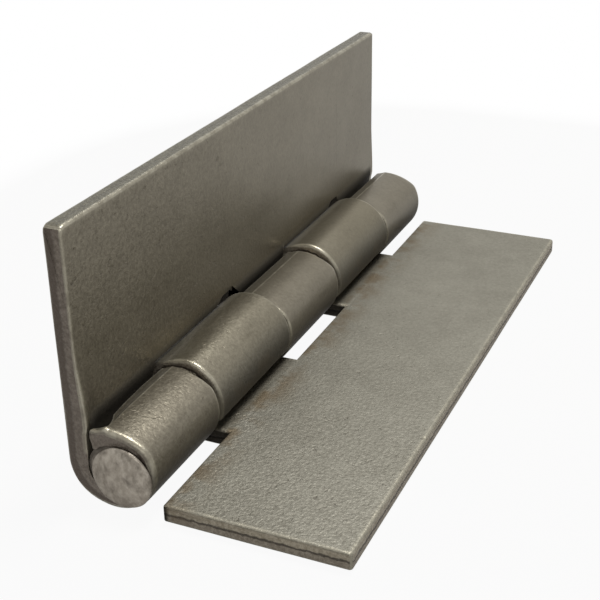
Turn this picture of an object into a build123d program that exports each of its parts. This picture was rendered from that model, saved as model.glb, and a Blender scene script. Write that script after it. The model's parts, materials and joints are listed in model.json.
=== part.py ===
"""Weld-on butt hinge rolled from steel strip: two square-cornered leaves on one staked pin.

The frame is in millimetres, with +Z up. The origin is the middle of the flat leaf's weld face,
which lies on z = 0. The pin runs along Y on the left of it, and the upright leaf stands on the
far side of the pin, square to the flat leaf.
"""
import math
import os

from build123d import *

# Leaves: thickness, length along the pin, and reach from the pin's axis to the free edge
sheet = 2.5
leaf_length = 100.0
flat_reach = 32.2
upright_reach = 31.6

# Corners of the leaves, cut square with the upright leaf's near one worn round, and the tumbled
# edges of the sheet
corner_radius = 0.4
worn_corner_radius = 0.9
edge_break = 0.3

# Pin and barrel
pin_radius = 3.65
pin_clearance = 0.05
bore_radius = pin_radius + pin_clearance
barrel_radius = bore_radius + sheet

# Knuckles in order along the pin: end, flat leaf's, middle, flat leaf's, end
end_knuckle = 17.5
flat_knuckle = 22.3
wide_gap = 0.6
narrow_gap = 0.2

# Notches in each leaf that let the other leaf's knuckles turn
flat_notch_clearance = 0.85
upright_notch_clearance = 0.3

# Free ends of the rolled sheet, and the low crown pressed on the upright leaf's rolls
flat_lip_gap = 1.2
upright_lip_gap = 1.2
crown_thickness = 1.52
crown_flattening = 3.1
crown_shift = -0.4
shoulder_radius = 2.5
lip_bevel_width = 1.8
lip_bevel_drop = 0.4

# Staked head of the pin, spread towards one side, and the pin's plain far end
head_spread = 0.65
head_lean = -30.0
head_rim = 0.4
head_rise = 1.0
pin_recess = 0.4
pin_chamfer = 0.6

# Places along the pin
near_end = -leaf_length / 2
far_end = leaf_length / 2
middle_knuckle = leaf_length - 2 * (end_knuckle + wide_gap + flat_knuckle + narrow_gap)
first_flat = near_end + end_knuckle + wide_gap
middle_start = first_flat + flat_knuckle + narrow_gap
second_flat = middle_start + middle_knuckle + wide_gap
last_start = second_flat + flat_knuckle + narrow_gap
flat_knuckles = [(first_flat, flat_knuckle), (second_flat, flat_knuckle)]
upright_knuckles = [
    (near_end, end_knuckle),
    (middle_start, middle_knuckle),
    (last_start, end_knuckle),
]

# Places across the pin, measured from its axis, and the axis in the frame
flat_notch = barrel_radius + flat_notch_clearance
upright_notch = math.sqrt((barrel_radius + upright_notch_clearance) ** 2 - bore_radius**2)
crown_radius = barrel_radius + crown_flattening
crown_centre = bore_radius + crown_thickness - crown_radius
pivot_x = -(flat_notch + flat_reach) / 2
pivot_z = barrel_radius
section = Plane(origin=(pivot_x, 0, pivot_z), x_dir=(1, 0, 0), z_dir=(0, -1, 0))
LOW = (Align.MIN, Align.MIN)


# The flat leaf: a plate, and two knuckles rolled up from it, over the pin and down again
with BuildPart() as flat_leaf:
    with BuildSketch() as flat_plate:
        Rectangle(flat_reach - flat_notch, leaf_length)
        fillet(flat_plate.vertices().group_by(Axis.X)[-1], radius=corner_radius)
    extrude(amount=sheet)
    for start, length in flat_knuckles:
        with BuildSketch(section.offset(-start - length)):
            Circle(barrel_radius)
            with Locations((0, -barrel_radius)):
                Rectangle(barrel_radius, sheet + flat_lip_gap, align=LOW, mode=Mode.SUBTRACT)
                Rectangle(flat_notch, sheet, align=LOW)
            Circle(bore_radius, mode=Mode.SUBTRACT)
        extrude(amount=length)
    rims = flat_leaf.edges().filter_by(GeomType.CIRCLE).group_by(SortBy.RADIUS)[-1]
    free_edges = flat_leaf.edges().filter_by(Axis.Y).group_by(Axis.X)[-1]
    chamfer(rims + free_edges, length=edge_break)
flat_leaf.part.label = "flat_leaf"


# The upright leaf: a plate, and three knuckles rolled under the pin and back over it, where the
# end of the sheet is pressed down to a low crown with a bevelled lip
with BuildPart() as upright_leaf:
    with BuildSketch(Plane.YZ.offset(pivot_x - barrel_radius)) as upright_plate:
        with Locations((near_end, pivot_z + upright_notch)):
            Rectangle(leaf_length, upright_reach - upright_notch, align=LOW)
        near_corner = upright_plate.vertices().group_by(Axis.Y)[-1].sort_by(Axis.X)[0]
        fillet(near_corner, radius=worn_corner_radius)
        far_corner = upright_plate.vertices().group_by(Axis.Y)[-1].sort_by(Axis.X)[-1]
        fillet(far_corner, radius=corner_radius)
    extrude(amount=sheet)
    for start, length in upright_knuckles:
        with BuildSketch(section.offset(-start - length)) as roll:
            Circle(barrel_radius)
            with Locations((crown_shift, crown_centre)):
                Circle(crown_radius, mode=Mode.INTERSECT)
            fillet(roll.vertices().sort_by(Axis.X)[-1], radius=shoulder_radius)
            with Locations((-barrel_radius, 0)):
                Rectangle(sheet + upright_lip_gap, barrel_radius, align=LOW, mode=Mode.SUBTRACT)
            crown = roll.edges().filter_by(GeomType.CIRCLE).sort_by(SortBy.RADIUS)[-1]
            lip = roll.vertices().sort_by(Axis.Y)[-1]
            chamfer(lip, length=lip_bevel_width, length2=lip_bevel_drop, reference=crown)
            with Locations((-barrel_radius, 0)):
                Rectangle(sheet, upright_notch, align=LOW)
            Circle(bore_radius, mode=Mode.SUBTRACT)
        extrude(amount=length)
    rims = upright_leaf.edges().filter_by(GeomType.CIRCLE).group_by(SortBy.RADIUS)[-1]
    free_edges = upright_leaf.edges().filter_by(Axis.Y).group_by(Axis.Z)[-1]
    chamfer(rims + free_edges, length=edge_break)
upright_leaf.part.label = "upright_leaf"


# The pin: a plain rod, chamfered at the far end, with a low domed head staked over at the near
# end until it reaches the outside of the barrel
head_radius = pin_radius + head_spread
head_offset = barrel_radius - head_radius
head_x = pivot_x + head_offset * math.cos(math.radians(head_lean))
head_z = pivot_z + head_offset * math.sin(math.radians(head_lean))
with BuildPart() as hinge_pin:
    with BuildSketch(section.offset(-far_end + pin_recess)):
        Circle(pin_radius)
    extrude(amount=leaf_length - pin_recess)
    chamfer(hinge_pin.edges().group_by(Axis.Y)[-1], length=pin_chamfer)
    with BuildSketch(Plane.XY.offset(head_z)):
        with BuildLine():
            rim = Polyline(
                (head_x, near_end),
                (head_x + head_radius, near_end),
                (head_x + head_radius, near_end - head_rim),
            )
            dome = TangentArc((head_x, near_end - head_rise), rim @ 1, tangent=(1, 0))
            Line(dome @ 0, rim @ 0)
        make_face()
    revolve(axis=Axis((head_x, 0, head_z), (0, 1, 0)))
hinge_pin.part.label = "hinge_pin"


os.makedirs("parts", exist_ok=True)
for piece in (flat_leaf, upright_leaf, hinge_pin):
    export_step(piece.part, f"parts/{piece.part.label}.step")
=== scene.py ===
"""Flat butt hinge in bare rolled steel, dressed for its photograph.

Each leaf is a plate with rolled knuckles, and the pin is a rod with a hammered head. Sizes are in
millimetres in the row frame and turn into metres as a mesh is made.
"""
import json
import math

import bpy
import numpy as np
from mathutils import Matrix, Vector, noise


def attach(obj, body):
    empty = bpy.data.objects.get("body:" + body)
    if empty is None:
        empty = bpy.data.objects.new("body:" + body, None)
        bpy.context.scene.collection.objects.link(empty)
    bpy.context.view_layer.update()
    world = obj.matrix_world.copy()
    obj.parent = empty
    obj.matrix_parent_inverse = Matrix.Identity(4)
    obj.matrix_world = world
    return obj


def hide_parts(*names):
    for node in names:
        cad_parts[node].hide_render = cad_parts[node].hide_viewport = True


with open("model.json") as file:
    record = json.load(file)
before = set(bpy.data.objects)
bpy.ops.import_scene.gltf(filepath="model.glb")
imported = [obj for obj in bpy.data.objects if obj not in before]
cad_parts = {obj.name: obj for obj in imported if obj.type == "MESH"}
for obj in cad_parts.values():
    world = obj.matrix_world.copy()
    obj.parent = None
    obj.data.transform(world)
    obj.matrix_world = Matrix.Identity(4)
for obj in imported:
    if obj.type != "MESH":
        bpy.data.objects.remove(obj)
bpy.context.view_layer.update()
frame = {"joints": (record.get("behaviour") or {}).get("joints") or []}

MM = 0.001
PIVOT = Vector(frame["joints"][0]["pos_m"]) / MM
px, pz = PIVOT.x, PIVOT.z

# Sheet, barrel and plates
SHEET = 2.5
BORE = 3.7
BARREL = BORE + SHEET
HALF_LENGTH = 50.0
FLAT_HALF = 12.575
UPRIGHT_FOOT = 11.5
UPRIGHT_TOP = 37.8
ROUND_OVER = 0.3

# Where a knuckle's tab runs on over its plate: a little proud at first, then dipping into it
TUCK = 1.9
PROUD = 0.02
DIP = 0.12

# Knuckles along the pin, and the upright leaf's plate, which runs on into its end knuckles
FIRST_ROLL, MIDDLE_ROLL, LAST_ROLL = (-50.0, -32.5), (-9.4, 9.4), (32.5, 50.0)
FLAT_ROLLS = [(-31.9, -9.6), (10.0, 32.3)]
PLATE_HALF = 33.7
PLATE_OVERLAP = 1.2

# How far below the pin's axis the flat leaf's lips end, and radii on the upright leaf's rolls
LIP_DROP = 2.5
CROWN_RADIUS = 9.3
SHOULDER = 2.5

# Pin and its head
PIN = 3.65
HEAD = 4.3
HEAD_SIDE = (1.645, -0.95)
SPOKES = 96


# Shapes

def smooth(value, low, high):
    """0 below low, 1 above high, smooth between."""
    t = np.clip((value - low) / (high - low), 0, 1)
    return t * t * (3 - 2 * t)


def rel(x, z):
    """A point of a section, measured from the pin's axis."""
    return (px + x, pz + z)


def bearing(point, middle):
    """The angle from one point of a section to another, in degrees."""
    return math.degrees(math.atan2(point[1] - middle[1], point[0] - middle[0]))


def arc(centre, radius, start, stop, pitch=0.28):
    """Points along an arc from one angle to another, in degrees."""
    count = max(4, int(abs(math.radians(stop - start)) * radius / pitch) + 2)
    turn = np.radians(np.linspace(start, stop, count))
    return np.column_stack((centre[0] + radius * np.cos(turn), centre[1] + radius * np.sin(turn)))


def straight(a, b, pitch=0.5):
    """Points along a straight run."""
    count = max(2, int(math.dist(a, b) / pitch) + 2)
    return np.linspace(a, b, count)


def shortened(run, head, tail):
    """A run with a length taken off each end."""
    along = np.concatenate(([0.0], np.cumsum(np.linalg.norm(np.diff(run, axis=0), axis=1))))
    inside = along[(along > head + 0.03) & (along < along[-1] - tail - 0.03)]
    places = np.concatenate(([head], inside, [along[-1] - tail]))
    return np.column_stack([np.interp(places, along, run[:, k]) for k in (0, 1)])


def outline(runs, eases):
    """Joins runs into one closed outline. eases[i] rounds the corner after run i; 0 is a smooth join.

    Returns the points and how sharp an edge each one stands on.
    """
    parts, edges = [], []
    for i, run in enumerate(runs):
        after = runs[(i + 1) % len(runs)]
        part = shortened(run, eases[i - 1], eases[i])
        if eases[i] == 0:
            part = part[:-1]
        parts.append(part)
        edges.append(np.zeros(len(part)))
        if eases[i] > 0:
            start = part[-1]
            stop = shortened(after, eases[i], eases[(i + 1) % len(runs)])[0]
            t = np.linspace(0, 1, 7)[1:-1, None]
            parts.append((1 - t) ** 2 * start + 2 * t * (1 - t) * run[-1] + t**2 * stop)
            edges.append(np.ones(len(t)))
    points = np.concatenate(parts)
    edge = np.concatenate(edges)
    x, z = points.T
    if np.sum(x * np.roll(z, -1) - z * np.roll(x, -1)) < 0:
        points, edge = points[::-1], edge[::-1]
    return points, edge


def bar(shape, start, stop, near=ROUND_OVER, far=ROUND_OVER, pitch=0.7, fold=()):
    """A bar of one outline along the pin. near and far round its end edges, point by point.

    fold gives the two points where a leaf runs into its knuckle; the end faces are split there.

    Returns points, faces, and the wear of each point: 1 on an edge, falling to 0 beside it.
    """
    points, edge = shape
    count = len(points)
    along = np.roll(points, -1, axis=0) - np.roll(points, 1, axis=0)
    along /= np.linalg.norm(along, axis=1)[:, None]
    outward = np.column_stack((along[:, 1], -along[:, 0]))
    edge = np.maximum(edge, 0.45 * np.maximum(np.roll(edge, 1), np.roll(edge, -1)))
    near, far = near * np.ones(count), far * np.ones(count)
    turn = np.linspace(0, math.pi / 2, 6)

    def end_rings(radius):
        """Rings of one end as depth, inset, wear, and share of the outline's own edges."""
        worn = np.clip(radius / ROUND_OVER, 0, 1)
        none = 0 * radius
        rings = [(none, radius + 0.1 * worn, none, 0), (none, radius + 0.04 * worn, 0.4 * worn, 0.4)]
        rings += [(radius * (1 - math.cos(t)), radius * (1 - math.sin(t)), worn, 1) for t in turn]
        rings += [(radius + 0.22, none, 0.45 * worn, 1), (radius + 0.6, none, 0.1 * worn, 1)]
        return rings

    inner = np.arange(start + near.max() + 0.9, stop - far.max() - 0.8, pitch)
    rings = [(start + depth, *rest) for depth, *rest in end_rings(near)]
    rings += [(y * np.ones(count), np.zeros(count), np.zeros(count), 1) for y in inner]
    rings += [(stop - depth, *rest) for depth, *rest in reversed(end_rings(far))]
    cloud, wear = [], []
    for y, inset, ring_wear, edge_share in rings:
        flat = points - outward * inset[:, None]
        cloud.append(np.column_stack((flat[:, 0], y, flat[:, 1])))
        wear.append(np.maximum(edge * edge_share, ring_wear))
    faces = []
    for row in range(len(rings) - 1):
        low, high = row * count, (row + 1) * count
        for i in range(count):
            j = (i + 1) % count
            faces.append((low + i, low + j, high + j, high + i))
    ends = [list(range(count))]
    if fold:
        low, high = sorted(int(np.argmin(np.linalg.norm(points - spot, axis=1))) for spot in fold)
        ends = [list(range(low, high + 1)), list(range(high, count)) + list(range(low + 1))]
    for end in ends:
        faces.append(tuple(reversed(end)))
        faces.append(tuple(i + (len(rings) - 1) * count for i in end))
    return np.concatenate(cloud), faces, np.concatenate(wear)


def joined(bars):
    """Several bars as one mesh."""
    points, faces, wear, base = [], [], [], 0
    for cloud, some_faces, some_wear in bars:
        points.append(cloud)
        faces += [tuple(base + i for i in face) for face in some_faces]
        wear.append(some_wear)
        base += len(cloud)
    return np.concatenate(points), faces, np.concatenate(wear)


def rounded_corner(points, across, edge, end, radius):
    """Rounds a plate's corner in plan, where its free edge meets one end."""
    side = math.copysign(1.0, end)
    u = (points[:, across] - (edge - radius)) / radius
    v = (points[:, 1] * side - (abs(end) - radius)) / radius
    near = (u > 0) & (v > 0)
    size = np.hypot(u, v)
    shrink = np.ones(len(points))
    shrink[near] = np.maximum(u, v)[near] / size[near]
    points[near, across] = edge - radius + u[near] * shrink[near] * radius
    points[near, 1] = side * (abs(end) - radius + v[near] * shrink[near] * radius)


def uneven(points, axis, amount, scale):
    """Adds the slight waviness of rolled sheet along one axis, by an amount for each point."""
    for i, p in enumerate(points):
        points[i, axis] += amount[i] * noise.noise(Vector(p) / scale)


def end_rounding(points, amount):
    """Rounding of a knuckle's end edges: none in the bore."""
    across = np.hypot(points[:, 0] - px, points[:, 1] - pz)
    return 0.03 + (amount - 0.03) * smooth(across, BORE + 0.05, BORE + 0.3)


def piece(name, mesh_parts, body, node, finish):
    """A piece of the hinge that rides a body and stands for a CAD node."""
    points, faces, wear = mesh_parts
    mesh = bpy.data.meshes.new(name)
    mesh.from_pydata((points * MM).tolist(), [], faces)
    mesh.attributes.new("wear", "FLOAT", "POINT").data.foreach_set("value", wear.astype(np.float32))
    mesh.shade_smooth()
    mesh.materials.append(finish)
    mesh.update()
    made = bpy.data.objects.new(name, mesh)
    bpy.context.scene.collection.objects.link(made)
    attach(made, body)
    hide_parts(node)
    return made


# Finishes

class Value:
    """A socket of a shader. Sums on it add Math nodes."""

    def __init__(self, shader, socket):
        self.shader = shader
        self.socket = socket

    def __add__(self, other):
        return self.shader.math("ADD", self, other)

    def __sub__(self, other):
        return self.shader.math("SUBTRACT", self, other)

    def __rsub__(self, other):
        return self.shader.math("SUBTRACT", other, self)

    def __mul__(self, other):
        return self.shader.math("MULTIPLY", self, other)

    def __truediv__(self, other):
        return self.shader.math("DIVIDE", self, other)

    def __gt__(self, other):
        return self.shader.math("GREATER_THAN", self, other)

    def __lt__(self, other):
        return self.shader.math("LESS_THAN", self, other)

    def __abs__(self):
        return self.shader.math("ABSOLUTE", self)

    __radd__ = __add__
    __rmul__ = __mul__


class Shader:
    """The nodes of one material or of the world."""

    def __init__(self, owner):
        owner.use_nodes = True
        self.tree = owner.node_tree
        self.tree.nodes.clear()

    def node(self, kind, settings=None, sockets=None, out=0):
        """Adds a node: its settings first, then the values or links of its sockets."""
        made = self.tree.nodes.new("ShaderNode" + kind)
        for name, value in (settings or {}).items():
            setattr(made, name, value)
        for name, value in (sockets or {}).items():
            socket = next(s for s in made.inputs if name in (s.identifier, s.name))
            if isinstance(value, Value):
                self.tree.links.new(value.socket, socket)
            else:
                socket.default_value = value
        for place, socket in enumerate(made.outputs):
            if out in (place, socket.identifier, socket.name):
                return Value(self, socket)

    def math(self, operation, a, b=0.0, clamp=False):
        settings = {"operation": operation, "use_clamp": clamp}
        return self.node("Math", settings, {"Value": a, "Value_001": b})

    def clamp(self, value):
        return self.math("ADD", value, 0.0, clamp=True)

    def step(self, value, low, high):
        """0 below low, 1 above high, smooth between."""
        return self.node(
            "MapRange", {"interpolation_type": "SMOOTHSTEP"},
            {"Value": value, "From Min": low, "From Max": high})

    def mix(self, amount, a, b):
        """Mixes two colours."""
        return self.node(
            "Mix", {"data_type": "RGBA"},
            {"Factor_Float": amount, "A_Color": a, "B_Color": b}, "Result_Color")

    def grain(self, place, scale, detail=2.0, roughness=0.5, seed=0.0):
        """Noise of a feature size in turns per millimetre."""
        return self.node(
            "TexNoise", {"noise_dimensions": "4D"},
            {"Vector": place, "W": seed, "Scale": scale, "Detail": detail, "Roughness": roughness})

    def parts(self, vector):
        return [self.node("SeparateXYZ", {}, {"Vector": vector}, k) for k in ("X", "Y", "Z")]

    def place(self):
        """Millimetre coordinates on the piece."""
        where = self.node("TexCoord", out="Object")
        return self.node("VectorMath", {"operation": "SCALE"}, {"Vector": where, "Scale": 1 / MM})

    def seen(self):
        """1 for rays that show the surface itself, in view or in a reflection."""
        kinds = ("Camera", "Glossy", "Transmission")
        rays = [self.node("LightPath", out=f"Is {kind} Ray") for kind in kinds]
        return self.clamp(rays[0] + rays[1] + rays[2])

    def steel(self, colour, roughness, metal, height, depth, sheen):
        """Ends a finish with one steel surface. sheen is how much it shines at a glancing angle."""
        normal = self.node("Bump", {}, {"Strength": 1.0, "Distance": depth * MM, "Height": height})
        surface = self.node("BsdfPrincipled", {}, {
            "Base Color": colour, "Roughness": roughness, "Metallic": metal, "Normal": normal,
            "Specular IOR Level": 0.25, "Specular Tint": shade(sheen, sheen, sheen)})
        self.node("OutputMaterial", {}, {"Surface": surface})


def shade(red, green, blue):
    return (red, green, blue, 1.0)


def leaf_steel(name, upright):
    """Dull rolled steel with a grained skin, bright worn edges and sheared ends."""
    material = bpy.data.materials.new(name)
    shader = Shader(material)
    place = shader.place()
    x, y, z = shader.parts(place)
    nx, ny, nz = shader.parts(shader.node("TexCoord", out="Normal"))

    # Where the sheet is plate and where it is rolled, and the depth through it from the inner face
    across = (x - px) * (x - px) + (z - pz) * (z - pz)
    rolled_depth = (shader.math("SQRT", across) - BORE) / SHEET
    if upright:
        plate = shader.step(z, UPRIGHT_FOOT - 1.0, UPRIGHT_FOOT + 4.0)
        plate_depth = (px - BORE - x) / SHEET
        on_plate = (z > pz) * (x < px - BORE + 0.3)
        free_edge = shader.step(nz, 0.75, 0.95) * (z > UPRIGHT_TOP - 1.0)
    else:
        plate = shader.step(x, -FLAT_HALF - 2.5, -FLAT_HALF + 1.0)
        plate_depth = 1 - z / SHEET
        on_plate = (x > px) * (z < SHEET + 0.3)
        free_edge = shader.step(nx, 0.75, 0.95) * (x > FLAT_HALF - 1.0)
    depth = rolled_depth + on_plate * (plate_depth - rolled_depth)
    cut = shader.clamp(shader.step(abs(ny), 0.75, 0.95) + free_edge)

    # Skin: fine dabs and pits, crisper towards the near end, and broad cloudy patches
    crisp = 1 - 0.6 * shader.step(y, -48.0, 20.0)
    dabs = (shader.grain(place, 1.9, 2.0, 0.5) - 0.5) * crisp
    fine = (shader.grain(place, 4.6, 2.0, 0.6, 3.0) - 0.5) * crisp
    pits = shader.step(shader.grain(place, 1.0, 3.0, 0.6, 7.0), 0.60, 0.72) * crisp
    clouds = shader.grain(place, 0.07, 2.0, 0.5, 11.0) - 0.5
    patches = shader.grain(place, 0.3, 3.0, 0.6, 5.0) - 0.5
    tone = shader.clamp(0.5 + clouds * 0.5 + patches * 0.45 + dabs * 1.3 + fine * 1.1)
    # Painted light and shade on one steel: the flat leaf's plate lighter than its knuckles, and the
    # upright leaf darker than both
    colour = shader.mix(tone, shade(0.122, 0.107, 0.080), shade(0.25, 0.226, 0.174))
    if not upright:
        colour = shader.mix(tone, shade(0.142, 0.126, 0.094), shade(0.29, 0.264, 0.202))
        lit_plate_colour = shader.mix(tone, shade(0.165, 0.154, 0.124), shade(0.335, 0.32, 0.267))
        colour = shader.mix(plate, colour, lit_plate_colour)
    colour = shader.mix(pits * 0.35, colour, shade(0.08, 0.069, 0.052))

    # Painted shade on the hidden sides of the knuckles, on their lower sides towards the flat leaf, and
    # along the foot of the upright leaf
    painted_shade = shader.step(-1 * nx, 0.2, 0.65) * shader.step(nz, -0.1, 0.3) * (1 - plate) * (z > pz)
    low, high = (-0.35, 0.4) if upright else (-0.1, 0.75)
    under = (1 - shader.step(nz, low, high)) * shader.step(nx, 0.1, 0.4)
    under = under * (x > px) * (x < -FLAT_HALF)
    painted_shade = painted_shade + under * 0.85
    if upright:
        foot = 1 - shader.step(z, UPRIGHT_FOOT - 0.2, UPRIGHT_FOOT + 1.5)
        foot = foot * (z > pz) * (x < px - 2.9)
        painted_shade = painted_shade + foot * shader.step(nx, -0.6, -0.1) * (abs(y) < HALF_LENGTH - 1.0)
    painted_shade = shader.clamp(painted_shade)

    # Sheared ends: a rubbed band, a dark line where the cut broke, and a torn band
    ragged = depth + (shader.grain(place, 0.9, 3.0, 0.6, 2.0) - 0.5) * 0.35
    torn = shader.step(ragged, 0.45, 0.6)
    crack = shader.step(ragged, 0.40, 0.48) * (1 - shader.step(ragged, 0.52, 0.62))
    flecks = shader.step(shader.grain(place, 2.4, 3.0, 0.65, 9.0), 0.32, 0.68)
    if upright:
        cut_colour = shader.mix(flecks, shade(0.12, 0.099, 0.078), shade(0.20, 0.17, 0.14))
        cut_colour = shader.mix(torn * 0.8, cut_colour, shade(0.085, 0.067, 0.053))
        edge_colour = shader.mix(flecks, shade(0.100, 0.091, 0.067), shade(0.172, 0.160, 0.119))
        cut_colour = shader.mix(free_edge, cut_colour, edge_colour)
        crack = crack * 0.2
    else:
        cut_colour = shader.mix(flecks, shade(0.33, 0.287, 0.214), shade(0.52, 0.465, 0.366))
        torn_colour = shader.mix(flecks, shade(0.25, 0.214, 0.169), shade(0.40, 0.353, 0.284))
        cut_colour = shader.mix(torn, cut_colour, torn_colour)
    cut_colour = shader.mix(crack * 0.8, cut_colour, shade(0.03, 0.024, 0.019))
    colour = shader.mix(cut, colour, cut_colour)
    # Painted shade: the shaded sides of the knuckles and the foot of the upright leaf darkened towards
    # black
    colour = shader.mix(painted_shade * 0.85, colour, shade(0.03, 0.026, 0.02))

    # Edges rubbed bright, in broken lengths
    wear = shader.node("Attribute", {"attribute_name": "wear"}, {}, "Fac")
    broken = shader.step(shader.grain(place, 0.55, 3.0, 0.65, 4.0), 0.38, 0.62)
    rubbed = shader.clamp(wear * wear * (0.35 + broken * 0.65) * 0.85 * (1 - painted_shade * 0.7))
    colour = shader.mix(rubbed, colour, shade(0.40, 0.372, 0.293))

    if not upright:
        # Brown stain where the flat leaf runs into its knuckles
        beside = 1 - shader.step(x, -FLAT_HALF - 0.5, -FLAT_HALF + 5.5)
        spread = shader.step(shader.grain(place, 0.22, 3.0, 0.6, 8.0), 0.42, 0.62)
        stain = beside * spread * shader.step(x, -FLAT_HALF - 1.2, -FLAT_HALF)
        colour = shader.mix(stain * 0.7, colour, shade(0.15, 0.105, 0.055))

        # The walls of its notches are painted dark, as painted shade
        notch_wall_shade = 1 - shader.step(x, -FLAT_HALF + 0.1, -FLAT_HALF + 1.0)
        notch_wall_shade = notch_wall_shade * shader.clamp(cut + shader.step(-1 * nx, 0.3, 0.7))
        notch_wall_shade = notch_wall_shade * (z < SHEET + 0.3) * (x > px - 1.0)
        painted_shade = shader.clamp(painted_shade + notch_wall_shade)
        colour = shader.mix(notch_wall_shade * 0.9, colour, shade(0.02, 0.017, 0.014))

    if upright:
        roughness = 0.38 - plate * 0.03
        metal = 0.88
        relief = 0.28 - plate * 0.08
    else:
        roughness = 0.38 + plate * 0.12
        metal = 0.88 - plate * 0.26
        relief = 0.28 + plate * 0.27
    roughness = roughness + fine * 0.2 + pits * 0.12 - rubbed * 0.06 + painted_shade * 0.35
    metal = shader.clamp(metal - cut * 0.35 - rubbed * 0.25 - painted_shade * 0.6)
    skin = (dabs * 0.6 + fine * 0.35 - pits * 0.4) * relief
    torn_height = (shader.grain(place, 3.0, 3.0, 0.6, 6.0) - 0.5) * 0.5 - crack * 0.4
    height = skin + cut * (torn_height - skin)
    shader.steel(colour, roughness, metal, height, 0.3, 0.8 if upright else 0.3)
    return material


def pin_steel(name):
    """Dull rod, hammered and rubbed on its head, with a painted highlight on the head's upper side
    towards the flat leaf and painted shade under its rim.
    """
    material = bpy.data.materials.new(name)
    shader = Shader(material)
    place = shader.place()
    fine = shader.grain(place, 4.0, 3.0, 0.6)
    drawn = shader.node(
        "VectorMath", {"operation": "MULTIPLY"}, {"Vector": place, "Vector_001": (1.15, 1.0, 0.8)})
    blows = shader.grain(drawn, 0.7, 3.0, 0.65, 2.0)
    dirt = shader.step(shader.grain(drawn, 0.42, 4.0, 0.65, 6.0), 0.46, 0.72)
    wear = shader.node("Attribute", {"attribute_name": "wear"}, {}, "Fac")
    x, y, z = shader.parts(place)
    # Painted highlight: the head lighter towards its top and the flat leaf's side, mixed with the rubbing
    # of the hammer blows
    highlight_slope = (x - px - HEAD_SIDE[0]) * 0.55 + (z - pz - HEAD_SIDE[1]) * 0.75
    rubbed = shader.clamp(shader.step(blows, 0.33, 0.67) * 0.6 + shader.step(highlight_slope, -3.5, 3.0) * 0.4)
    colour = shader.mix(rubbed, shade(0.19, 0.163, 0.13), shade(0.47, 0.425, 0.36))
    colour = shader.mix(dirt * 0.7, colour, shade(0.13, 0.108, 0.085))
    # Painted shade under and round the rim of the head and on the far end, where the rings' wear is high
    colour = shader.mix(wear * 0.6, colour, shade(0.10, 0.084, 0.069))
    roughness = 0.42 + (fine - 0.5) * 0.25 + dirt * 0.1
    metal = shader.clamp(0.7 - dirt * 0.3)
    shader.steel(colour, roughness, metal, blows * 0.8 + fine * 0.25, 0.12, 0.5)
    return material


# The flat leaf: plate and two knuckles rolled up over the pin

flat_plate = bar(
    outline(
        [
            straight((-FLAT_HALF, 0.0), (FLAT_HALF, 0.0)),
            straight((FLAT_HALF, 0.0), (FLAT_HALF, SHEET), 0.3),
            straight((FLAT_HALF, SHEET), (-FLAT_HALF, SHEET)),
            straight((-FLAT_HALF, SHEET), (-FLAT_HALF, 0.0), 0.3),
        ],
        [0.35, 0.5, 0.45, 0.35],
    ),
    -HALF_LENGTH, HALF_LENGTH)
for end in (-HALF_LENGTH, HALF_LENGTH):
    rounded_corner(flat_plate[0], 0, FLAT_HALF, end, 0.45)

flat_lip = -math.degrees(math.asin(LIP_DROP / BARREL))
flat_bore = -math.degrees(math.asin(LIP_DROP / BORE))
tuck_x = -FLAT_HALF + TUCK
flat_roll = outline(
    [
        arc((px, pz), BARREL, 270, flat_lip),
        straight(
            (px + BARREL * math.cos(math.radians(flat_lip)), pz - LIP_DROP),
            (px + BORE * math.cos(math.radians(flat_bore)), pz - LIP_DROP), 0.3),
        arc((px, pz), BORE, flat_bore, 270),
        straight((px, SHEET), (-FLAT_HALF + 0.4, SHEET + PROUD)),
        straight((-FLAT_HALF + 0.4, SHEET + PROUD), (tuck_x, SHEET - DIP)),
        straight((tuck_x, SHEET - DIP), (tuck_x, DIP)),
        straight((tuck_x, DIP), (-FLAT_HALF + 0.4, -PROUD)),
        straight((-FLAT_HALF + 0.4, -PROUD), (px, 0.0)),
    ],
    [0.5, 0.4, 0, 0, 0, 0, 0, 0],
)

# Their front edges are rounded less on the side of the upright leaf
flat_turn = np.degrees(np.arctan2(flat_roll[0][:, 1] - pz, flat_roll[0][:, 0] - px))
flat_near = end_rounding(flat_roll[0], 0.5 - 0.32 * smooth(flat_turn, 92, 118))
flat_rolls = [
    bar(flat_roll, start, stop, flat_near, end_rounding(flat_roll[0], 0.3))
    for start, stop in FLAT_ROLLS]


def pressed_side(points, amount):
    """A flat leaf's knuckle, pressed flatter near its front on the side of the upright leaf."""
    x, z = points[:, 0] - px, points[:, 2] - pz
    across, turn = np.hypot(x, z), np.degrees(np.arctan2(z, x))
    press = amount * smooth(turn, 70, 105) * (1 - smooth(turn, 114, 134))
    press *= np.clip((across - BORE - 0.5) / 1.5, 0, 1)
    press *= 1 - smooth(points[:, 1] - points[:, 1].min(), 3.0, 14.0)
    points[:, 0] -= press * x / across
    points[:, 2] -= press * z / across


pressed_side(flat_rolls[0][0], 0.5)
pressed_side(flat_rolls[1][0], 0.25)
flat_mesh = joined([flat_plate, *flat_rolls])
flat_waves = 0.05 * smooth(flat_mesh[0][:, 0], -FLAT_HALF, -FLAT_HALF + 4.0)
uneven(flat_mesh[0], 2, flat_waves, 9.0)


# The upright leaf: plate and three knuckles rolled under the pin and pressed down over it

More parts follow.
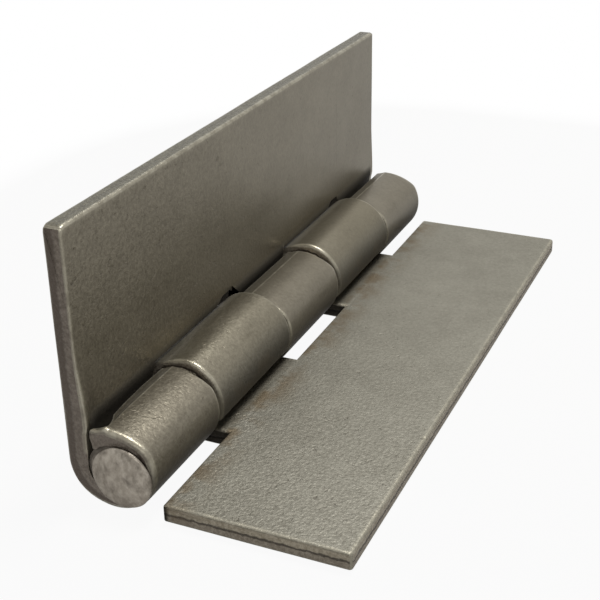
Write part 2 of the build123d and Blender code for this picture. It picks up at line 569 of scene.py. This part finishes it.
crown_middle = rel(-0.4, -4.08)
shoulder_a, shoulder_b = rel(5.588, 2.685), rel(4.708, 3.692)
bend_middle = rel(5.588 - SHOULDER * 0.9013, 2.685 - SHOULDER * 0.4331)
lip_out, lip_top, lip_end = rel(-0.718, 5.215), rel(-2.5, 4.58), rel(-2.5, 2.728)
roll_runs = [
    arc((px, pz), BARREL, 180, 360 + bearing(shoulder_a, (px, pz))),
    arc(bend_middle, SHOULDER, bearing(shoulder_a, bend_middle), bearing(shoulder_b, bend_middle), 0.2),
    arc(crown_middle, CROWN_RADIUS, bearing(shoulder_b, crown_middle), bearing(lip_out, crown_middle)),
    straight(lip_out, lip_top, 0.25),
    straight(lip_top, lip_end, 0.25),
    arc((px, pz), BORE, bearing(lip_end, (px, pz)), -180),
]
roll_eases = [0, 0, 0.15, 0.3, 0.4, 0]

# An end knuckle carries the leaf's whole height. The middle one runs on to the plate between them.
inner, outer = px - BORE, px - BARREL
end_section = outline(
    [
        *roll_runs,
        straight(rel(-BORE, 0.0), (inner, UPRIGHT_TOP)),
        straight((inner, UPRIGHT_TOP), (outer, UPRIGHT_TOP), 0.3),
        straight((outer, UPRIGHT_TOP), rel(-BARREL, 0.0)),
    ],
    [*roll_eases, 0.5, 0.4, 0],
)
tuck_z = UPRIGHT_FOOT + TUCK
tab_in, tab_out = inner + PROUD, outer - PROUD
middle_section = outline(
    [
        *roll_runs,
        straight(rel(-BORE, 0.0), (tab_in, UPRIGHT_FOOT + 0.4)),
        straight((tab_in, UPRIGHT_FOOT + 0.4), (tab_in - DIP, tuck_z)),
        straight((tab_in - DIP, tuck_z), (tab_out + DIP, tuck_z)),
        straight((tab_out + DIP, tuck_z), (tab_out, UPRIGHT_FOOT + 0.4)),
        straight((tab_out, UPRIGHT_FOOT + 0.4), rel(-BARREL, 0.0)),
    ],
    [*roll_eases, 0, 0, 0, 0, 0],
)
upright_plate = bar(
    outline(
        [
            straight((outer, UPRIGHT_FOOT), (inner, UPRIGHT_FOOT), 0.3),
            straight((inner, UPRIGHT_FOOT), (inner, UPRIGHT_TOP)),
            straight((inner, UPRIGHT_TOP), (outer, UPRIGHT_TOP), 0.3),
            straight((outer, UPRIGHT_TOP), (outer, UPRIGHT_FOOT)),
        ],
        [0.06, 0.5, 0.4, 0.35],
    ),
    -PLATE_HALF, PLATE_HALF, pitch=0.65)


def tucked_ends(points):
    """The ends of the middle plate, dipping into the end knuckles' parts of the leaf."""
    dip = DIP * np.clip((np.abs(points[:, 1]) - LAST_ROLL[0]) / PLATE_OVERLAP, 0, 1) ** 2
    points[:, 0] -= dip * np.sign(points[:, 0] - (inner + outer) / 2)
    points[:, 2] -= dip * (points[:, 2] > UPRIGHT_TOP - 1.0)


def thick_foot(points):
    """The sheet of the upright leaf, a little thicker inwards just above the bend."""
    x, z = points[:, 0] - px, points[:, 2] - pz
    amount = smooth(z, 3.4, 5.0) * (1 - smooth(z, 5.6, 14.0)) * (x < -3.0)
    points[:, 0] += 0.27 * amount * np.clip((x + BARREL) / SHEET, 0, 1)


def notch_corners(points):
    """The far corner of each notch in the upright leaf, cut a little higher than the rest."""
    y, z = points[:, 1], points[:, 2]
    for end in (MIDDLE_ROLL[0], LAST_ROLL[0]):
        corner = smooth(y, end - 4.8, end - 3.0) * (y < end - 0.05)
        points[:, 2] += 0.95 * corner * (1 - smooth(z, UPRIGHT_FOOT + 0.3, UPRIGHT_FOOT + 3.2))


def notch_rounding(points):
    """Rounding at a notch: of the knuckle's end only, and none where the leaf runs on."""
    leaf = smooth(points[:, 1], UPRIGHT_FOOT - 0.6, UPRIGHT_FOOT)
    return np.maximum(0.004, end_rounding(points, 0.3) * (1 - leaf))


def broad_ends(points):
    """How broadly an end knuckle's outer edge is rounded: round the barrel, and not on the leaf.

    Returns the angle round the pin, whether a point is on the roll, and the share of the broad edge.
    """
    x, z = points[:, 0] - px, points[:, 1] - pz
    turn = np.degrees(np.arctan2(z, x))
    roll = (x > -3.3) | (z < 0)
    return turn, roll, roll * smooth(turn, -150, -100) * (1 - smooth(turn, 102, 124))


def first_rounding(points):
    """The first knuckle's front edge: broad round the barrel, narrow on the leaf and the lip."""
    x, z = points[:, 0] - px, points[:, 1] - pz
    turn, roll, broad = broad_ends(points)
    lip = roll * smooth(turn, 110, 126) * (1 - smooth(turn, 135, 140))
    foot = ~roll * (x > -BORE - 0.1) * (1 - smooth(z, 4.0, 16.0))
    return end_rounding(points, ROUND_OVER - 0.05 + 0.45 * broad - 0.1 * lip + 0.2 * foot)


def pressed_front(points):
    """The first knuckle: its lip bitten back behind the front corner, and squeezed on to the head."""
    x, y, z = (points[:, k] - PIVOT[k] for k in range(3))
    across = np.hypot(x, z)
    turn = np.degrees(np.arctan2(z, x))
    lip = (z > 2.0) & (x > -3.2) & (x < -0.4)
    bore_z = np.sqrt(np.maximum(BORE**2 - x**2, 0))
    under = np.clip((4.58 - z) / np.maximum(4.58 - bore_z, 0.3), 0, 1)

    # The edge of the lip along the pin, and a shallow groove on top of it
    places = [-50, -49.5, -49.1, -48.4, -47.9, -46.8, -45.4, -42.2, -37.8, -32.5]
    shifts = [-0.3, -0.12, 0.32, 1.08, 1.29, 1.08, 0.41, 0.09, -0.08, 0.0]
    shift = lip * np.interp(y, places, shifts) * np.clip((-x - 0.5) / 1.6, 0, 1)
    new_bore_z = np.sqrt(np.maximum(BORE**2 - (x + shift) ** 2, 0))
    front = 1 - smooth(y, -49.5, -48.6)
    lift = 0.2 * front + 0.12 * np.clip(shift, 0, 1)
    groove = 0.13 * np.sin(np.pi * np.clip((-x - 0.75) / 1.7, 0, 1)) ** 2 * (across > 4.8)
    points[:, 0] += shift
    points[:, 2] += lip * (under * (new_bore_z - bore_z) + (1 - under) * (lift - groove))

    # The roof of the bore and the foot of the leaf, squeezed in at the front
    squeezed = 1 - smooth(y, -49.3, -46.8)
    droop = np.interp(turn, [50, 63, 85, 124, 131, 134], [0, 0.2, 0.59, 0.8, 0.5, 0])
    droop *= squeezed * np.clip((BORE + 0.7 - across) / 0.6, 0, 1)
    points[:, 0] -= droop * x / np.maximum(across, 0.1)
    points[:, 2] -= droop * z / np.maximum(across, 0.1)
    squeezed_leg(points)


def squeezed_leg(points):
    """The foot of the upright leaf, thickened inwards at its front end."""
    x, y, z = (points[:, k] - PIVOT[k] for k in range(3))
    share = np.where(z > 0, x + BARREL, BARREL - np.hypot(x, z)) / SHEET
    amount = (1 - smooth(y, -49.3, -46.8)) * smooth(z, -2.8, 0.2) * (1 - smooth(z, 4.0, 16.0))
    points[:, 0] += 0.42 * (x < -3.0) * np.clip(share, 0, 1) * amount


def longer_lip(points, reach):
    """A lip that runs a little further towards its leaf."""
    x, z = points[:, 0] - px, points[:, 2] - pz
    points[:, 0] -= reach * (z > 2.0) * (x > -3.2) * np.clip((-x - 0.5) / 1.6, 0, 1)


fold = (rel(-BORE, 0.0), rel(-BARREL, 0.0))
notch_end = notch_rounding(end_section[0])
far_end = end_rounding(end_section[0], 0.12 + 0.6 * broad_ends(end_section[0])[2])
first = bar(end_section, *FIRST_ROLL, first_rounding(end_section[0]), notch_end, 0.35, fold)
last = bar(end_section, *LAST_ROLL, notch_end, far_end, 0.7, fold)
middle_ends = [end_rounding(middle_section[0], amount) for amount in (0.35, 0.3)]
middle = bar(middle_section, *MIDDLE_ROLL, *middle_ends)
pressed_front(first[0])
longer_lip(middle[0], 0.35)
tucked_ends(upright_plate[0])
notch_corners(upright_plate[0])
for part in (upright_plate, first, middle, last):
    thick_foot(part[0])
rounded_corner(first[0], 2, UPRIGHT_TOP, -HALF_LENGTH, 0.95)
rounded_corner(last[0], 2, UPRIGHT_TOP, HALF_LENGTH, 0.45)
upright_mesh = joined([upright_plate, first, middle, last])
upright_waves = 0.05 * smooth(upright_mesh[0][:, 2], UPRIGHT_FOOT + 1.0, UPRIGHT_FOOT + 6.0)
uneven(upright_mesh[0], 0, upright_waves, 9.0)


# The pin: rod, bevelled far end, and a head hammered over towards one side

def pin_rings():
    """Rings along the pin as place along it, radius, share of the head's lean, and wear, which the pin's
    finish paints as shade under and round the head's rim and on the bevelled far end.
    """
    rings = [(49.6, 0.02, 0, 0), (49.6, 1.5, 0, 0), (49.6, 3.0, 0, 0.2), (49.45, 3.2, 0, 0.5)]
    rings += [(49.1, 3.55, 0, 0.5), (48.9, PIN, 0, 0.2)]
    rings += [(y, PIN, 0, 0) for y in np.linspace(48.0, -49.6, 60)]
    rings += [(-49.95, PIN, 0.3, 1), (-50.0, PIN + 0.35, 0.9, 1), (-50.03, HEAD - 0.12, 1, 1)]
    rings += [(-50.12, HEAD - 0.02, 1, 0.8), (-50.24, HEAD, 1, 0.5), (-50.36, HEAD - 0.05, 1, 0.2)]
    for share in np.linspace(0.963, 0.0, 22):
        rings.append((-50.46 - 0.6 * (1 - (share / 0.963) ** 2), max(0.02, HEAD * share), 1, 0))
    return rings


def hinge_pin_mesh():
    """The pin from its rings: its points, faces and wear, the mask of its painted shade."""
    points, faces, wear = [], [], []
    rings = pin_rings()
    for y, radius, lean, ring_wear in rings:
        for k in range(SPOKES):
            turn = 2 * math.pi * k / SPOKES
            out = radius
            if lean == 1:
                out *= 1 + 0.018 * noise.noise(Vector((2 * math.cos(turn), 2 * math.sin(turn), 4.0)))
            spot = Vector((
                px + HEAD_SIDE[0] * lean + out * math.cos(turn), y,
                pz + HEAD_SIDE[1] * lean + out * math.sin(turn)))
            side = Vector((spot.x - px - HEAD_SIDE[0], 0, spot.z - pz - HEAD_SIDE[1]))
            if lean == 0 and y < -46.0 and side.length > HEAD - 0.25:
                # the rod narrows behind the head, which leaves a dark pocket beside it
                side *= (HEAD - 0.25) / side.length
                spot.x, spot.z = px + HEAD_SIDE[0] + side.x, pz + HEAD_SIDE[1] + side.z
            if lean == 1 and radius < HEAD - 0.1:
                spot.y += 0.13 * noise.noise(spot * 0.45) + 0.04 * noise.noise(spot * 1.3)
            points.append(spot)
            wear.append(ring_wear)
    for row in range(len(rings) - 1):
        for k in range(SPOKES):
            j = (k + 1) % SPOKES
            low, high = row * SPOKES, (row + 1) * SPOKES
            faces.append((low + k, low + j, high + j, high + k))
    faces.append(tuple(range(SPOKES - 1, -1, -1)))
    rim = (len(rings) - 1) * SPOKES
    faces.append(tuple(range(rim, rim + SPOKES)))
    return np.array(points), faces, np.array(wear, float)


piece(
    "rolled_flat_leaf", flat_mesh, "flat_side", "flat_leaf",
    leaf_steel("flat leaf steel", False))
piece(
    "rolled_upright_leaf", upright_mesh, "upright_side", "upright_leaf",
    leaf_steel("upright leaf steel", True))
piece(
    "staked_pin", hinge_pin_mesh(), "upright_side", "hinge_pin",
    pin_steel("hammered pin steel"))


# Floor, light and camera

def floor_finish():
    """White floor that keeps part of the shadow that falls on it near the hinge."""
    material = bpy.data.materials.new("floor white")
    shader = Shader(material)
    x, y, z = shader.parts(shader.place())
    beside = shader.math("MAXIMUM", abs(x + 6.6) - 19.0, 0.0)
    beyond = shader.math("MAXIMUM", abs(y) - 50.0, 0.0)
    away = shader.math("SQRT", beside * beside + beyond * beyond)
    clear = shader.math("MAXIMUM", shader.step(away, 2.0, 90.0), 0.94)
    paint = shader.node("BsdfDiffuse", {}, {"Color": shade(0.42, 0.41, 0.39)})
    glow = shader.node("Emission", {}, {"Color": shade(1, 1, 1), "Strength": 1.0})
    both = shader.node(
        "MixShader", {}, {"Fac": shader.seen() * clear, "Shader": paint, "Shader_001": glow})
    shader.node("OutputMaterial", {}, {"Surface": both})
    return material


FLOOR_HALF, FLOOR_LEVEL = 3, -0.0002
corners = [
    (FLOOR_HALF * u, FLOOR_HALF * v, FLOOR_LEVEL) for u, v in ((-1, -1), (1, -1), (1, 1), (-1, 1))]
floor_mesh = bpy.data.meshes.new("floor")
floor_mesh.from_pydata(corners, [], [(0, 1, 2, 3)])
floor_mesh.materials.append(floor_finish())
floor = bpy.data.objects.new("floor", floor_mesh)
bpy.context.scene.collection.objects.link(floor)

world = bpy.data.worlds.new("studio")
bpy.context.scene.world = world
sky = Shader(world)
soft = sky.node("Background", {}, {"Color": shade(1.0, 0.98, 0.95), "Strength": 0.05})
white = sky.node("Background", {}, {"Color": shade(1, 1, 1), "Strength": 1.0})
around = sky.node("MixShader", {}, {"Fac": sky.seen(), "Shader": soft, "Shader_001": white})
sky.node("OutputWorld", {}, {"Surface": around})


def softbox(name, place, target, size, power):
    """A round soft lamp turned to a target."""
    lamp = bpy.data.lights.new(name, "AREA")
    lamp.shape = "DISK"
    lamp.size = size
    lamp.energy = power
    made = bpy.data.objects.new(name, lamp)
    made.location = place
    made.rotation_euler = (Vector(target) - Vector(place)).to_track_quat("-Z", "Y").to_euler()
    bpy.context.scene.collection.objects.link(made)


softbox("top light", (0.04, 0.10, 0.46), (0, 0, 0.01), 0.16, 1.8)
softbox("front fill", (0.16, -0.42, 0.30), (0, 0, 0.01), 0.20, 0.3)


def photo_camera():
    """The camera as it stood for the photograph."""
    yaw, pitch, roll = (math.radians(v) for v in (24.422, -25.931, -1.073))
    ahead = Vector((-math.sin(yaw) * math.cos(pitch), math.cos(yaw) * math.cos(pitch), math.sin(pitch)))
    right = ahead.cross(Vector((0, 0, 1))).normalized()
    up = right.cross(ahead)
    right, up = right * math.cos(roll) + up * math.sin(roll), up * math.cos(roll) - right * math.sin(roll)
    lens = bpy.data.cameras.new("photo camera")
    lens.sensor_width = 36.0
    lens.lens = 71.76
    lens.clip_start = 0.01
    made = bpy.data.objects.new("photo camera", lens)
    turn = Matrix((right, up, -ahead)).transposed().to_4x4()
    made.matrix_world = Matrix.Translation((0.05361, -0.15357, 0.08942)) @ turn
    bpy.context.scene.collection.objects.link(made)
    bpy.context.scene.camera = made


photo_camera()
bpy.context.scene.view_settings.view_transform = "Standard"
